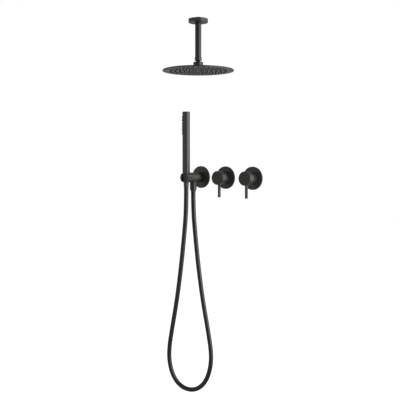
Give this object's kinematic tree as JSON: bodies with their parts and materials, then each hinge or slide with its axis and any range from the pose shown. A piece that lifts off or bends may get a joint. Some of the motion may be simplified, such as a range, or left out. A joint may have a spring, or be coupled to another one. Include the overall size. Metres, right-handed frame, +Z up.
{
  "type": "concealed rainfall shower set",
  "caption": "Ceiling-arm rain shower head with a swivel joint, a slotted wall outlet holding a stick handset on its hose, and round pin-lever mixer and diverter valves.",
  "frame": {"origin": "axis of the diverter, the middle wall unit, on the finished wall plane", "axes": "+X along the wall to the right, +Y into the wall, +Z up"},
  "size_m": [0.3477, 0.293, 1.2769],
  "materials": {
    "satin_black": "satin black coat on brass and steel",
    "hose_black": "satin black spiral metal hose",
    "nozzle_rubber": "soft black silicone",
    "seal_rubber": "black nitrile rubber",
    "brass": "machined",
    "stainless_steel": "ground",
    "engineering_plastic": "moulded"
  },
  "bodies": {
    "root": {"ceiling_arm": "satin_black", "ball_stud": "satin_black", "stud_oring": "seal_rubber", "flow_restrictor": "engineering_plastic", "outlet_rose": "satin_black", "outlet_rose_oring": "seal_rubber", "outlet_body": "satin_black", "outlet_check_valve": "engineering_plastic", "hose_outlet_washer": "seal_rubber", "hose_outlet_nut": "satin_black", "hose_outlet_ferrule": "satin_black", "shower_hose": "hose_black", "diverter_rose": "satin_black", "diverter_rose_oring": "seal_rubber", "diverter_body": "brass", "diverter_cartridge": "engineering_plastic", "diverter_cartridge_nut": "brass", "diverter_sleeve": "satin_black", "mixer_rose": "satin_black", "mixer_rose_oring": "seal_rubber", "mixer_body": "brass", "mixer_cartridge": "engineering_plastic", "mixer_cartridge_nut": "brass", "mixer_sleeve": "satin_black"},
    "ceiling_cover": {"ceiling_rose": "satin_black", "ceiling_rose_oring": "seal_rubber"},
    "head_swivel_ring": {"ball_liner": "engineering_plastic"},
    "head": {"ball_nut": "satin_black", "ball_seat": "engineering_plastic", "seat_oring": "seal_rubber", "head_shell": "satin_black", "head_face_plate": "satin_black", "head_nozzle_mat": "nozzle_rubber", "head_gasket": "seal_rubber"},
    "hose_end": {"hose_handset_ferrule": "satin_black", "hose_handset_tail": "satin_black"},
    "handset": {"cone_nut": "satin_black", "cone_washer": "seal_rubber", "handset_inlet": "satin_black", "handset_tube": "satin_black", "handset_core": "engineering_plastic", "handset_nozzle_strip": "nozzle_rubber", "handset_cap": "satin_black"},
    "mixer_carrier": {"mixer_spindle": "brass", "mixer_spindle_pin": "stainless_steel"},
    "mixer_lever": {"mixer_stem": "brass", "mixer_knob": "satin_black", "mixer_lever_pin": "satin_black"},
    "diverter_lever": {"diverter_spindle": "brass", "diverter_knob": "satin_black", "diverter_lever_pin": "satin_black"}
  },
  "joints": [
    {"name": "ceiling_cover_slide", "type": "slide", "parent": "root", "child": "ceiling_cover", "axis": [0, 0, -1], "range_m": [0, 0.06]},
    {"name": "head_swivel", "type": "hinge", "parent": "root", "child": "head_swivel_ring", "pos_m": [0, -0.152, 0.3655], "axis": [0, 0, 1], "continuous": true},
    {"name": "head_tilt", "type": "hinge", "parent": "head_swivel_ring", "child": "head", "pos_m": [0, -0.152, 0.3655], "axis": [1, 0, 0], "range_deg": [-12, 12]},
    {"name": "handset_lift", "type": "slide", "parent": "root", "child": "hose_end", "axis": [0, 0, 1], "range_m": [0, 0.08]},
    {"name": "handset_spin", "type": "hinge", "parent": "hose_end", "child": "handset", "pos_m": [-0.108, -0.084, 0], "axis": [0, 0, 1], "continuous": true},
    {"name": "mixer_turn", "type": "hinge", "parent": "root", "child": "mixer_carrier", "pos_m": [0.112, -0.025, 0], "axis": [0, -1, 0], "range_deg": [-50, 50]},
    {"name": "mixer_lift", "type": "hinge", "parent": "mixer_carrier", "child": "mixer_lever", "pos_m": [0.112, -0.025, 0], "axis": [-1, 0, 0], "range_deg": [0, 20]},
    {"name": "diverter_turn", "type": "hinge", "parent": "root", "child": "diverter_lever", "pos_m": [0, -0.025, 0], "axis": [0, -1, 0], "range_deg": [0, 90]}
  ]
}
